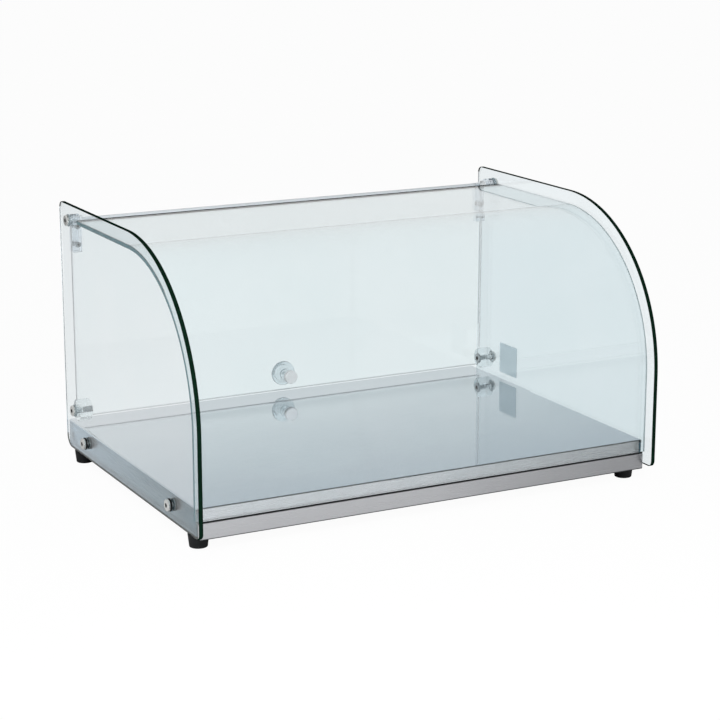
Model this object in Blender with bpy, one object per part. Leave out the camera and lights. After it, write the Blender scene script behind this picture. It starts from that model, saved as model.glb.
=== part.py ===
# Counter-top display case with a bent front glass and a flap door at the rear.
#
# Two flat side glasses with a large round front corner stand on their lower edges beside a flat
# steel base. A bent glass spans them at the front and on top, and stands on a narrow rail. A
# frameless glass door hangs at the rear from two clear hinges and rests on two clear stops. Four
# rubber feet carry the base.
#
# Axes: +X to the right, +Y to the rear, +Z up. The origin is the middle of the footprint on the
# surface that the case stands on. All lengths are in metres.

import math

import bmesh
import bpy
from mathutils import Vector

# Fits shared by many pieces.
fit_gap = 0.0003
hole_clearance = 0.0003
cut_overrun = 0.002

# Side glasses.
case_width = 0.554
side_glass_height = 0.287
side_glass_depth = 0.389
side_glass_thickness = 0.0048
side_front_radius = 0.1815
side_top_corner_radius = 0.007
side_heel_radius = 0.014
side_toe_radius = 0.007

# Bent front glass, set in from the outline of the side glasses.
front_glass_thickness = 0.005
front_glass_inset = 0.013
front_glass_drop = 0.015
front_glass_rear_setback = 0.051
seat_strip_height = 0.0014

# Sheet steel base.
sheet_thickness = 0.0012
base_height = 0.0337
base_hang = 0.0045
base_side_gap = 0.0028
base_rear_overhang = 0.003
plate_lip_height = 0.004
plate_bend_radius = 0.002
rail_height = 0.018
side_panel_lift = 0.002
side_flange_width = 0.0032

# Rubber feet with their screws.
foot_height = 0.0145
foot_top_radius = 0.0112
foot_bottom_radius = 0.0096
foot_recess_radius = 0.0048
foot_recess_depth = 0.007
foot_from_side = 0.0155
foot_from_front = 0.039
foot_from_rear = 0.014
foot_screw_radius = 0.002
foot_screw_head_radius = 0.0038
foot_screw_head_height = 0.0024
foot_screw_end_height = 0.004

# Button-head bolts through the side glasses, with a hexagon recess.
bolt_radius = 0.003
bolt_head_radius = 0.0063
bolt_head_height = 0.0028
bolt_head_rounding = 0.0012
bolt_recess_radius = 0.0023
bolt_recess_depth = 0.0016
washer_radius = 0.007
outer_washer_height = 0.0016
weld_nut_radius = 0.0058
weld_nut_height = 0.005

# Places of the bolts on a side glass, from its edges and from the top of the base.
base_bolt_below_deck = 0.012
front_base_bolt_from_front = 0.075
rear_base_bolt_from_rear = 0.063
door_bolt_from_rear = 0.032
pivot_below_top = 0.0175
stop_above_deck = 0.0193

# Clear door stops with a screw in their free end.
stop_radius = 0.0125
stop_length = 0.0145
stop_bolt_depth = 0.0045
stop_screw_radius = 0.0031
stop_screw_depth = 0.0075
stop_screw_head_radius = 0.0062
stop_screw_head_height = 0.0024
stop_screw_slot_width = 0.0013
stop_screw_slot_depth = 0.0011

# Rear door with clear hinges.
door_thickness = 0.005
door_side_gap = 0.0055
door_top_below_pivot = 0.001
door_floor_clearance = 0.0073
hinge_side_gap = 0.0005
hinge_barrel_radius = 0.0066
hinge_barrel_length = 0.009
hinge_leaf_thickness = 0.005
hinge_leaf_width = 0.01
hinge_leaf_length = 0.038
hinge_arm_height = 0.0042
pivot_nut_radius = 0.0048
pivot_nut_height = 0.004
hinge_screw_radius = 0.002
hinge_screw_head_radius = 0.0033
hinge_screw_head_height = 0.0022
hinge_backing_thickness = 0.0028
hinge_screw_below_arm = 0.0005
hinge_screw_from_end = 0.009

# Turned door knob with a round button on the inner side of the door.
knob_above_door_edge = 0.016
knob_radius = 0.015
knob_length = 0.019
knob_neck_radius = 0.0065
knob_neck_length = 0.006
knob_rim_thickness = 0.003
knob_crown_radius = 0.009
knob_screw_radius = 0.002
knob_screw_depth = 0.009
button_radius = 0.008
button_length = 0.005
button_rounding = 0.0008
button_screw_depth = 0.003
knob_washer_thickness = 0.0008

# Blank film on the inner face of the right side glass.
film_width = 0.04
film_height = 0.038
film_thickness = 0.0003
film_from_rear = 0.079
film_above_deck = 0.0253

# Counts of segments in round shapes.
large_arc_steps = 36
small_arc_steps = 4
bolt_sides = 20
foot_sides = 24
stop_sides = 28
knob_sides = 28
bore_sides = 16

# Places worked out from the sizes above.
half_width = case_width / 2
glass_inner_x = half_width - side_glass_thickness
base_half_width = glass_inner_x - base_side_gap
glass_bottom_z = foot_height + base_hang
glass_top_z = glass_bottom_z + side_glass_height
base_bottom_z = foot_height
base_top_z = base_bottom_z + base_height
rail_top_z = base_bottom_z + rail_height
front_glass_bottom_z = rail_top_z + seat_strip_height + 2 * fit_gap
pivot_z = glass_top_z - pivot_below_top
stop_z = base_top_z + stop_above_deck
door_top_z = pivot_z - door_top_below_pivot
door_bottom_z = base_top_z + door_floor_clearance
knob_z = door_bottom_z + knob_above_door_edge
hinge_leaf_bottom_z = door_top_z - hinge_leaf_length

# Distances behind the front edge of the side glasses, then places along Y.
rail_front = front_glass_inset
fascia_front = front_glass_inset + front_glass_thickness + fit_gap
base_rear = side_glass_depth + base_rear_overhang
door_bolt_from_front = side_glass_depth - door_bolt_from_rear
door_front = door_bolt_from_front + stop_radius + fit_gap
door_rear = door_front + door_thickness
knob_rear = door_rear + fit_gap + knob_washer_thickness + fit_gap + knob_length
overall_depth = max(knob_rear, base_rear)
front_y = -overall_depth / 2
pivot_y = front_y + door_bolt_from_front
door_front_y = front_y + door_front
door_rear_y = front_y + door_rear
fascia_y = front_y + fascia_front
base_rear_y = front_y + base_rear
hinge_outer_x = glass_inner_x - hinge_side_gap
door_edge_x = glass_inner_x - door_side_gap
hinge_screw_x = door_edge_x - hinge_leaf_width / 2
sides_by_name = {"left": -1, "right": 1}


def clear_scene():
    """Remove every object, so that the script gives the same model each time it runs."""
    for old in list(bpy.data.objects):
        bpy.data.objects.remove(old, do_unlink=True)


def material(name, colour, roughness, metallic=0, transmission=0):
    """A Principled material with the plain look of one kind of surface."""
    made = bpy.data.materials.new(name)
    made.use_nodes = True
    shader = made.node_tree.nodes["Principled BSDF"]
    shader.inputs["Base Color"].default_value = (*colour, 1)
    shader.inputs["Roughness"].default_value = roughness
    shader.inputs["Metallic"].default_value = metallic
    shader.inputs["Transmission Weight"].default_value = transmission
    made.diffuse_color = (*colour, 1)
    return made


def rounded(corners):
    """The outline through corners (u, v, radius), with an arc in each corner that has a radius.

    A large arc gets more steps than a small one, in the proportion of their radii.
    """
    outline = []
    for place, (u, v, radius) in enumerate(corners):
        here = Vector((u, v))
        if radius == 0:
            outline.append(here)
            continue
        before = Vector(corners[place - 1][:2]) - here
        after = Vector(corners[(place + 1) % len(corners)][:2]) - here
        half_angle = before.angle(after) / 2
        middle = (before.normalized() + after.normalized()).normalized()
        centre = here + middle * (radius / math.sin(half_angle))
        reach = radius / math.tan(half_angle)
        first = here + before.normalized() * reach - centre
        last = here + after.normalized() * reach - centre
        turn = first.angle_signed(last)
        steps = max(small_arc_steps, round(large_arc_steps * radius / side_front_radius))
        for step in range(steps + 1):
            share = step / steps
            angle = -turn * share
            cosine, sine = math.cos(angle), math.sin(angle)
            spoke = Vector((first.x * cosine - first.y * sine, first.x * sine + first.y * cosine))
            outline.append(centre + spoke)
    return outline


def add_prism(mesh, outline, axis, start, end):
    """Extrude a flat outline along one axis; the outline holds the two other coordinates."""
    places = {"X": lambda u, v: (start, u, v), "Y": lambda u, v: (u, start, v),
              "Z": lambda u, v: (u, v, start)}
    shift = {"X": (end - start, 0, 0), "Y": (0, end - start, 0), "Z": (0, 0, end - start)}
    corners = [mesh.verts.new(places[axis](u, v)) for u, v in outline]
    base = mesh.faces.new(corners)
    grown = bmesh.ops.extrude_face_region(mesh, geom=[base])
    moved = [piece for piece in grown["geom"] if isinstance(piece, bmesh.types.BMVert)]
    bmesh.ops.translate(mesh, verts=moved, vec=shift[axis])


def add_box(mesh, low, high):
    """A box between two opposite corners."""
    outline = [(low[0], low[1]), (high[0], low[1]), (high[0], high[1]), (low[0], high[1])]
    add_prism(mesh, outline, "Z", low[2], high[2])


def add_turned(mesh, profile, axis, centre, sides, facing=1):
    """Turn a profile of (radius, distance along the axis) about an axis through centre.

    A profile that starts and ends on the axis gives a full body, a closed one a ring.
    """
    along = {"X": Vector((facing, 0, 0)), "Y": Vector((0, facing, 0)), "Z": Vector((0, 0, facing))}
    across = {"X": Vector((0, 0, 1)), "Y": Vector((0, 0, 1)), "Z": Vector((1, 0, 0))}
    origin = Vector(centre)
    points = [mesh.verts.new(origin + along[axis] * far + across[axis] * radius)
              for radius, far in profile]
    edges = [mesh.edges.new(pair) for pair in zip(points, points[1:])]
    if profile[0][0] > 0:
        edges.append(mesh.edges.new((points[-1], points[0])))
    spun = bmesh.ops.spin(mesh, geom=points + edges, cent=origin, axis=along[axis],
                          angle=math.tau, steps=sides, use_merge=True)
    seam = [vert for vert in mesh.verts if vert.is_valid]
    bmesh.ops.remove_doubles(mesh, verts=seam, dist=fit_gap / 100)
    return spun


def add_tube(mesh, axis, centre, outer, inner, start, end, sides, facing=1):
    """A ring with square ends from start to end along the axis."""
    add_turned(mesh, [(inner, start), (outer, start), (outer, end), (inner, end)],
               axis, centre, sides, facing)


def add_rod(mesh, axis, centre, radius, start, end, sides, facing=1):
    """A round rod from start to end along the axis."""
    add_turned(mesh, [(0, start), (radius, start), (radius, end), (0, end)],
               axis, centre, sides, facing)


def regular(sides, radius, centre, turn=0):
    """The corners of a regular outline about centre."""
    return [(centre[0] + radius * math.cos(math.tau * (side + turn) / sides),
             centre[1] + radius * math.sin(math.tau * (side + turn) / sides))
            for side in range(sides)]


def finish(name, mesh, look, parent=None, smooth=True):
    """Close a bmesh into a named object; a child of an empty keeps its place in the world."""
    bmesh.ops.recalc_face_normals(mesh, faces=mesh.faces)
    offset = parent.location if parent else Vector((0, 0, 0))
    bmesh.ops.translate(mesh, verts=mesh.verts, vec=-offset)
    data = bpy.data.meshes.new(name)
    mesh.to_mesh(data)
    mesh.free()
    made = bpy.data.objects.new(name, data)
    bpy.context.scene.collection.objects.link(made)
    made.parent = parent
    if look:
        data.materials.append(look)
    if smooth:
        data.shade_smooth()
        data.set_sharp_from_angle(angle=math.radians(32))
    return made


def combine(target, tool_mesh, operation):
    """Cut a hidden tool from the target, or join it to the target."""
    tool = finish(target.name + "_" + operation.lower() + str(len(target.modifiers)),
                  tool_mesh, None, target.parent, smooth=False)
    tool.hide_render = True
    tool.display_type = "WIRE"
    tool.hide_set(True)
    change = target.modifiers.new(operation.title(), "BOOLEAN")
    change.operation = operation
    change.solver = "EXACT"
    change.object = tool


def base_bolt_places():
    """The two (y, z) places where bolts pass through a side glass into the base."""
    low = base_top_z - base_bolt_below_deck
    return {"front": (front_y + front_base_bolt_from_front, low),
            "rear": (front_y + side_glass_depth - rear_base_bolt_from_rear, low)}


def side_glass_bolt_places():
    """The (y, z) places of the holes in a side glass: two in the base and two for the door."""
    return list(base_bolt_places().values()) + [(pivot_y, pivot_z), (pivot_y, stop_z)]


def make_side_glass(name, side, look):
    """A flat side glass: a rectangle with one large round corner and four bolt holes."""
    rear_y = front_y + side_glass_depth
    outline = rounded([(front_y, glass_bottom_z, side_toe_radius),
                       (rear_y, glass_bottom_z, side_heel_radius),
                       (rear_y, glass_top_z, side_top_corner_radius),
                       (front_y, glass_top_z, side_front_radius)])
    mesh = bmesh.new()
    add_prism(mesh, outline, "X", side * glass_inner_x, side * half_width)
    glass = finish(name, mesh, look)
    holes = bmesh.new()
    for y, z in side_glass_bolt_places():
        add_rod(holes, "X", (0, y, z), bolt_radius + hole_clearance,
                glass_inner_x - cut_overrun, half_width + cut_overrun, bore_sides, side)
    combine(glass, holes, "DIFFERENCE")
    return glass


def make_front_glass(look):
    """The bent front glass: upright at the front, one arc, then level to its rear edge."""
    outer_y = front_y + front_glass_inset
    outer_z = glass_top_z - front_glass_drop
    rear_y = front_y + side_glass_depth - front_glass_rear_setback
    inner_y = outer_y + front_glass_thickness
    inner_z = outer_z - front_glass_thickness
    outer_radius = side_front_radius - (front_glass_inset + front_glass_drop) / 2
    inner_radius = outer_radius - front_glass_thickness
    low = front_glass_bottom_z
    outer = rounded([(outer_y, low, 0), (outer_y, outer_z, outer_radius),
                     (rear_y, outer_z, 0)])
    inner = rounded([(inner_y, low, 0), (inner_y, inner_z, inner_radius),
                     (rear_y, inner_z, 0)])
    mesh = bmesh.new()
    reach = glass_inner_x - fit_gap
    add_prism(mesh, outer + inner[::-1], "X", -reach, reach)
    return finish("front_glass", mesh, look)


def make_seat_strip(look):
    """The dark strip under the front glass."""
    low = rail_top_z + fit_gap
    mesh = bmesh.new()
    add_box(mesh, (-base_half_width, front_y + front_glass_inset + fit_gap, low),
            (base_half_width, fascia_y - 2 * fit_gap, low + seat_strip_height))
    return finish("front_seat_strip", mesh, look)


def make_front_rail(look):
    """The folded channel under the front glass, open to the rear."""
    front = front_y + rail_front
    rear = fascia_y - fit_gap
    bottom, top, wall = base_bottom_z, rail_top_z, sheet_thickness
    outline = rounded([(front, bottom, wall), (front, top, wall), (rear, top, 0),
                       (rear, top - wall, 0), (front + wall, top - wall, 0),
                       (front + wall, bottom + wall, 0), (rear, bottom + wall, 0),
                       (rear, bottom, 0)])
    mesh = bmesh.new()
    add_prism(mesh, outline, "X", -base_half_width, base_half_width)
    return finish("front_rail", mesh, look)


def make_top_plate(look):
    """The mirror-like deck of the base, with a lip folded down along each side."""
    half, wall, top = base_half_width, sheet_thickness, base_top_z
    lip = top - plate_lip_height
    bend = plate_bend_radius
    inner_bend = bend - wall
    outline = rounded([(-half, lip, 0), (-half, top, bend), (half, top, bend), (half, lip, 0),
                       (half - wall, lip, 0), (half - wall, top - wall, inner_bend),
                       (wall - half, top - wall, inner_bend), (wall - half, lip, 0)])
    mesh = bmesh.new()
    add_prism(mesh, outline, "Y", fascia_y, base_rear_y)
    return finish("top_plate", mesh, look)


def make_side_panel(name, side, look):
    """A side of the base, folded inwards in front, with two nuts welded on its inner face."""
    outer = side * base_half_width
    inner = side * (base_half_width - sheet_thickness)
    flange = side * (base_half_width - side_flange_width)
    back = fascia_y + sheet_thickness
    outline = rounded([(outer, base_rear_y, 0), (outer, fascia_y, sheet_thickness),
                       (flange, fascia_y, 0), (flange, back, 0), (inner, back, 0),
                       (inner, base_rear_y, 0)])
    mesh = bmesh.new()
    add_prism(mesh, outline, "Z", base_bottom_z + side_panel_lift,
              base_top_z - plate_lip_height - fit_gap)
    panel = finish(name, mesh, look)
    nut_end = base_half_width - sheet_thickness - weld_nut_height
    nuts = bmesh.new()
    holes = bmesh.new()
    for y, z in base_bolt_places().values():
        add_rod(nuts, "X", (0, y, z), weld_nut_radius, nut_end,
                base_half_width - sheet_thickness / 2, 6, side)
        add_rod(holes, "X", (0, y, z), bolt_radius + hole_clearance, nut_end - cut_overrun,
                base_half_width + cut_overrun, bore_sides, side)
    combine(panel, nuts, "UNION")
    combine(panel, holes, "DIFFERENCE")
    return panel


def make_fascia(look):
    """The upright front of the base, behind the foot of the front glass."""
    reach = base_half_width - side_flange_width - fit_gap
    mesh = bmesh.new()
    add_box(mesh, (-reach, fascia_y, base_bottom_z),
            (reach, fascia_y + sheet_thickness, base_top_z - sheet_thickness - fit_gap))
    return finish("front_fascia", mesh, look)


def make_rear_panel(look):
    """The upright rear of the base, between its sides."""
    reach = base_half_width - sheet_thickness - fit_gap
    mesh = bmesh.new()
    add_box(mesh, (-reach, base_rear_y - sheet_thickness, base_bottom_z),
            (reach, base_rear_y, base_top_z - sheet_thickness - fit_gap))
    return finish("rear_panel", mesh, look)


def foot_places():
    """The four feet by name and (x, y) place."""
    x = half_width - foot_from_side
    front = front_y + foot_from_front
    rear = front_y + side_glass_depth - foot_from_rear
    return [("foot_front_left", -x, front), ("foot_front_right", x, front),
            ("foot_rear_left", -x, rear), ("foot_rear_right", x, rear)]


def make_bottom_cover(look):
    """The sheet that closes the base from below, with a hole over each foot."""
    reach = base_half_width - sheet_thickness - fit_gap
    mesh = bmesh.new()
    add_box(mesh, (-reach, fascia_y + sheet_thickness + fit_gap, base_bottom_z),
            (reach, base_rear_y - sheet_thickness - fit_gap, base_bottom_z + sheet_thickness))
    cover = finish("bottom_cover", mesh, look)
    holes = bmesh.new()
    for _, x, y in foot_places():
        add_rod(holes, "Z", (x, y, 0), foot_screw_radius + hole_clearance,
                base_bottom_z - cut_overrun, base_bottom_z + sheet_thickness + cut_overrun,
                bore_sides)
    combine(cover, holes, "DIFFERENCE")
    return cover


def make_feet(look):
    """Tapered rubber feet, hollow round their screw."""
    bore = foot_screw_radius + hole_clearance
    top = foot_height - fit_gap
    profile = [(foot_recess_radius, 0), (foot_bottom_radius, 0), (foot_top_radius, top),
               (bore, top), (bore, foot_recess_depth), (foot_recess_radius, foot_recess_depth)]
    for name, x, y in foot_places():
        mesh = bmesh.new()
        add_turned(mesh, profile, "Z", (x, y, 0), foot_sides)
        finish(name, mesh, look)


def make_foot_screws(look):
    """A screw from below in each foot, with its end through the bottom cover."""
    head_top = foot_recess_depth - fit_gap
    head_bottom = head_top - foot_screw_head_height
    end = base_bottom_z + sheet_thickness + foot_screw_end_height
    profile = [(0, head_bottom), (foot_screw_head_radius, head_bottom),
               (foot_screw_head_radius, head_top), (foot_screw_radius, head_top),
               (foot_screw_radius, end), (0, end)]
    for name, x, y in foot_places():
        mesh = bmesh.new()
        add_turned(mesh, profile, "Z", (x, y, 0), bolt_sides)
        finish(name.replace("foot", "foot_screw"), mesh, look)


def make_bolt(name, side, place, tip_x, look):
    """A bolt with a rounded head outside a side glass and its tip at tip_x from the middle."""
    y, z = place
    seat = half_width + 2 * fit_gap + outer_washer_height
    crown = seat + bolt_head_height
    flat_radius = bolt_head_radius - bolt_head_rounding
    profile = [(0, tip_x), (bolt_radius, tip_x), (bolt_radius, seat), (bolt_head_radius, seat),
               (bolt_head_radius, crown - bolt_head_rounding)]
    for step in range(1, small_arc_steps + 1):
        angle = math.pi / 2 * step / small_arc_steps
        profile.append((flat_radius + bolt_head_rounding * math.cos(angle),
                        crown - bolt_head_rounding * (1 - math.sin(angle))))
    profile.append((0, crown))
    mesh = bmesh.new()
    add_turned(mesh, profile, "X", (0, y, z), bolt_sides, side)
    bolt = finish(name, mesh, look)
    recess = bmesh.new()
    add_prism(recess, regular(6, bolt_recess_radius, place), "X",
              side * (crown - bolt_recess_depth), side * (crown + cut_overrun))
    combine(bolt, recess, "DIFFERENCE")


def make_washer(name, side, place, start, height, look):
    """A washer or spacer about a bolt, from start to start + height off the middle."""
    mesh = bmesh.new()
    add_tube(mesh, "X", (0, *place), washer_radius, bolt_radius + hole_clearance,
             start, start + height, bolt_sides, side)
    finish(name, mesh, look)


def make_bolt_with_washer(name, side, place, tip_x, steel, rubber):
    """A bolt and the dark washer under its head."""
    make_bolt(name, side, place, tip_x, steel)
    make_washer(name.replace("bolt", "washer"), side, place, half_width + fit_gap,
                outer_washer_height, rubber)


def make_base_fasteners(steel, rubber):
    """The four bolts that hold the base between the side glasses, with a spacer each."""
    tip_x = base_half_width - sheet_thickness - weld_nut_height
    for word, side in sides_by_name.items():
        for end, place in base_bolt_places().items():
            label = end + "_" + word
            make_bolt_with_washer("base_bolt_" + label, side, place, tip_x, steel, rubber)
            make_washer("base_spacer_" + label, side, place, base_half_width + fit_gap,
                        base_side_gap - 2 * fit_gap, rubber)


def make_nut(name, side, place, start, look):
    """A hexagon nut on a pivot bolt, starting at a distance from the middle."""
    y, z = place
    mesh = bmesh.new()
    add_prism(mesh, regular(6, pivot_nut_radius, place), "X", side * start,
              side * (start + pivot_nut_height))
    nut = finish(name, mesh, look)
    bore = bmesh.new()
    add_rod(bore, "X", (0, y, z), bolt_radius + hole_clearance, start - cut_overrun,
            start + pivot_nut_height + cut_overrun, bore_sides, side)
    combine(nut, bore, "DIFFERENCE")


def make_pivot_fasteners(steel, rubber):
    """The two bolts on which the door turns, each with a washer and a nut."""
    place = (pivot_y, pivot_z)
    nut_outer = hinge_outer_x - hinge_barrel_length - fit_gap
    nut_inner = nut_outer - pivot_nut_height
    for word, side in sides_by_name.items():
        make_bolt_with_washer("pivot_bolt_" + word, side, place, nut_inner, steel, rubber)
        make_nut("pivot_nut_" + word, side, place, nut_inner, steel)


def make_stop_screw(name, side, head_outer, look):
    """The slotted screw in the free end of a door stop."""
    head_inner = head_outer - stop_screw_head_height
    tip = head_outer + stop_screw_depth
    mesh = bmesh.new()
    add_turned(mesh, [(0, head_inner), (stop_screw_head_radius, head_inner),
                      (stop_screw_head_radius, head_outer), (stop_screw_radius, head_outer),
                      (stop_screw_radius, tip), (0, tip)],
               "X", (0, pivot_y, stop_z), bolt_sides, side)
    screw = finish(name, mesh, look)
    reach = stop_screw_head_radius + cut_overrun
    half_slot = stop_screw_slot_width / 2
    near = side * (head_inner - cut_overrun)
    far = side * (head_inner + stop_screw_slot_depth)
    slot = bmesh.new()
    add_box(slot, (min(near, far), pivot_y - reach, stop_z - half_slot),
            (max(near, far), pivot_y + reach, stop_z + half_slot))
    combine(screw, slot, "DIFFERENCE")


def make_stops(clear, steel, rubber):
    """The clear door stops, each between a bolt from outside and a screw from inside."""
    place = (pivot_y, stop_z)
    outer_end = glass_inner_x - fit_gap
    inner_end = outer_end - stop_length
    bolt_tip = outer_end - stop_bolt_depth
    step = bolt_tip - fit_gap
    bore = bolt_radius + hole_clearance
    screw_bore = stop_screw_radius + hole_clearance
    profile = [(screw_bore, inner_end), (stop_radius, inner_end), (stop_radius, outer_end),
               (bore, outer_end), (bore, step), (screw_bore, step)]
    for word, side in sides_by_name.items():
        mesh = bmesh.new()
        add_turned(mesh, profile, "X", (0, *place), stop_sides, side)
        finish("door_stop_" + word, mesh, clear)
        make_bolt_with_washer("stop_bolt_" + word, side, place, bolt_tip, steel, rubber)
        make_stop_screw("stop_screw_" + word, side, inner_end - fit_gap, steel)


def hinge_screw_heights():
    """The heights of the two screws in a hinge leaf."""
    under_arm = door_top_z - hinge_arm_height - hinge_screw_below_arm
    return {"upper": under_arm - hinge_screw_head_radius,
            "lower": hinge_leaf_bottom_z + hinge_screw_from_end}


def add_hinge_screw_bores(mesh, side, start_y, end_y):
    """The two screw bores of one hinge, along Y."""
    for z in hinge_screw_heights().values():
        add_rod(mesh, "Y", (side * hinge_screw_x, 0, z), hinge_screw_radius + hole_clearance,
                start_y - cut_overrun, end_y + cut_overrun, bore_sides)


def hinge_plate_span(side):
    """The two ends along X of a hinge leaf and its backing plate, level with the door's edge."""
    return sorted((side * (door_edge_x - hinge_leaf_width), side * door_edge_x))


def make_hinge(name, side, look, axis):
    """A clear hinge: a barrel on the pivot bolt, an arm to the rear and a leaf on the door."""
    outer = hinge_outer_x
    inner = outer - hinge_barrel_length
    leaf_rear = door_front_y - fit_gap
    leaf_front = leaf_rear - hinge_leaf_thickness
    mesh = bmesh.new()
    add_rod(mesh, "X", (0, pivot_y, pivot_z), hinge_barrel_radius, inner, outer, bolt_sides, side)
    hinge = finish(name, mesh, look, axis)
    start, end = sorted((side * inner, side * outer))
    arm = bmesh.new()
    add_box(arm, (start, pivot_y, door_top_z - hinge_arm_height), (end, leaf_rear, door_top_z))
    combine(hinge, arm, "UNION")
    start, end = hinge_plate_span(side)
    leaf = bmesh.new()
    add_box(leaf, (start, leaf_front, hinge_leaf_bottom_z), (end, leaf_rear, door_top_z))
    combine(hinge, leaf, "UNION")
    bores = bmesh.new()
    add_rod(bores, "X", (0, pivot_y, pivot_z), bolt_radius + hole_clearance,
            inner - cut_overrun, outer + cut_overrun, bore_sides, side)
    add_hinge_screw_bores(bores, side, leaf_front, leaf_rear)
    combine(hinge, bores, "DIFFERENCE")


def make_hinge_backing(name, side, look, axis):
    """The plate behind the door that takes the two screws of a hinge."""
    front = door_rear_y + fit_gap
    rear = front + hinge_backing_thickness
    start, end = hinge_plate_span(side)
    mesh = bmesh.new()
    add_box(mesh, (start, front, hinge_leaf_bottom_z), (end, rear, door_top_z))
    backing = finish(name, mesh, look, axis)
    bores = bmesh.new()
    add_hinge_screw_bores(bores, side, front, rear)
    combine(backing, bores, "DIFFERENCE")


def make_hinge_screws(steel, axis):
    """The screws through each hinge leaf, the door and the backing plate."""
    head_rear = door_front_y - 2 * fit_gap - hinge_leaf_thickness
    head_front = head_rear - hinge_screw_head_height
    tip = door_rear_y + fit_gap + hinge_backing_thickness
    profile = [(0, head_front), (hinge_screw_head_radius, head_front),
               (hinge_screw_head_radius, head_rear), (hinge_screw_radius, head_rear),
               (hinge_screw_radius, tip), (0, tip)]
    for word, side in sides_by_name.items():
        for level, z in hinge_screw_heights().items():
            mesh = bmesh.new()
            add_turned(mesh, profile, "Y", (side * hinge_screw_x, 0, z), bolt_sides)
            finish("hinge_screw_" + level + "_" + word, mesh, steel, axis)


def make_door(look, axis):
    """The frameless glass flap, with holes for the hinge screws and for the knob."""
    reach = door_edge_x
    mesh = bmesh.new()
    add_box(mesh, (-reach, door_front_y, door_bottom_z), (reach, door_rear_y, door_top_z))
    door = finish("rear_door_glass", mesh, look, axis)
    holes = bmesh.new()
    for side in sides_by_name.values():
        add_hinge_screw_bores(holes, side, door_front_y, door_rear_y)
    add_rod(holes, "Y", (0, 0, knob_z), knob_screw_radius + hole_clearance,
            door_front_y - cut_overrun, door_rear_y + cut_overrun, bore_sides)
    combine(door, holes, "DIFFERENCE")


def make_knob(clear, frosted, steel, rubber, axis):
    """The turned knob behind the door, the button inside, and the screw that joins them."""
    centre = (0, 0, knob_z)
    bore = knob_screw_radius + hole_clearance
    foot = door_rear_y + 2 * fit_gap + knob_washer_thickness
    end = foot + knob_length
    rim_rear = end - knob_rim_thickness
    rim_front = rim_rear - knob_rim_thickness
    screw_end = foot + knob_screw_depth
    profile = [(0, screw_end), (bore, screw_end), (bore, foot), (knob_neck_radius, foot),
               (knob_neck_radius, foot + knob_neck_length)]
    for step in range(1, small_arc_steps + 1):
        angle = math.pi / 2 * step / small_arc_steps
        profile.append((knob_radius - (knob_radius - knob_neck_radius) * math.cos(angle),
                        foot + knob_neck_length
                        + (rim_front - foot - knob_neck_length) * math.sin(angle)))
    profile += [(knob_radius, rim_rear), (knob_crown_radius, end), (0, end)]
    knob = bmesh.new()
    add_turned(knob, profile, "Y", centre, knob_sides)
    finish("door_knob", knob, clear, axis)

    rear = door_front_y - fit_gap
    front = rear - button_length
    tip = front + button_screw_depth - button_rounding
    edge = button_radius - button_rounding
    button = bmesh.new()
    add_turned(button, [(0, front), (edge, front), (button_radius, front + button_rounding),
                        (button_radius, rear), (bore, rear), (bore, tip), (0, tip)],
               "Y", centre, knob_sides)
    finish("knob_button", button, frosted, axis)

    screw = bmesh.new()
    add_rod(screw, "Y", centre, knob_screw_radius, tip + fit_gap, screw_end - fit_gap, bolt_sides)
    finish("knob_screw", screw, steel, axis)

    washer = bmesh.new()
    washer_front = door_rear_y + fit_gap
    add_tube(washer, "Y", centre, knob_neck_radius, bore, washer_front,
             washer_front + knob_washer_thickness, knob_sides)
    finish("knob_washer", washer, rubber, axis)


def make_film(look):
    """The blank film on the inner face of the right side glass."""
    outer = glass_inner_x - fit_gap
    y = front_y + side_glass_depth - film_from_rear
    z = base_top_z + film_above_deck
    mesh = bmesh.new()
    add_box(mesh, (outer - film_thickness, y - film_width / 2, z - film_height / 2),
            (outer, y + film_width / 2, z + film_height / 2))
    finish("blank_film", mesh, look)


def build_case():
    """Make every piece of the case, at rest with the door closed."""
    clear_scene()
    side_look = material("side glass, green float", (0.82, 0.93, 0.91), 0.02, 0, 1)
    front_look = material("front glass, bent float", (0.8, 0.92, 0.9), 0.02, 0, 1)
    door_look = material("door glass, flat float", (0.86, 0.94, 0.93), 0.02, 0, 1)
    deck_look = material("polished steel sheet", (0.68, 0.72, 0.75), 0.12, 1)
    panel_look = material("brushed steel sheet", (0.55, 0.58, 0.6), 0.32, 1)
    bolt_look = material("bright plated steel", (0.8, 0.8, 0.8), 0.15, 1)
    rubber_look = material("black rubber", (0.015, 0.015, 0.016), 0.7)
    clear_look = material("clear moulded plastic", (0.9, 0.93, 0.95), 0.08, 0, 1)
    frosted_look = material("frosted moulded plastic", (0.82, 0.84, 0.85), 0.45, 0, 0.6)
    film_look = material("pale blue film", (0.55, 0.66, 0.7), 0.5)

    for word, side in sides_by_name.items():
        make_side_glass("side_glass_" + word, side, side_look)
        make_side_panel("side_panel_" + word, side, panel_look)
    make_front_glass(front_look)
    make_seat_strip(rubber_look)
    make_front_rail(panel_look)
    make_fascia(panel_look)
    make_top_plate(deck_look)
    make_rear_panel(panel_look)
    make_bottom_cover(panel_look)
    make_feet(rubber_look)
    make_foot_screws(bolt_look)
    make_base_fasteners(bolt_look, rubber_look)
    make_pivot_fasteners(bolt_look, rubber_look)
    make_stops(clear_look, bolt_look, rubber_look)
    make_film(film_look)

    axis = bpy.data.objects.new("door_axis", None)
    axis.location = (0, pivot_y, pivot_z)
    bpy.context.scene.collection.objects.link(axis)
    make_door(door_look, axis)
    for word, side in sides_by_name.items():
        make_hinge("hinge_" + word, side, clear_look, axis)
        make_hinge_backing("hinge_backing_" + word, side, clear_look, axis)
    make_hinge_screws(bolt_look, axis)
    make_knob(clear_look, frosted_look, bolt_look, rubber_look, axis)


build_case()
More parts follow.
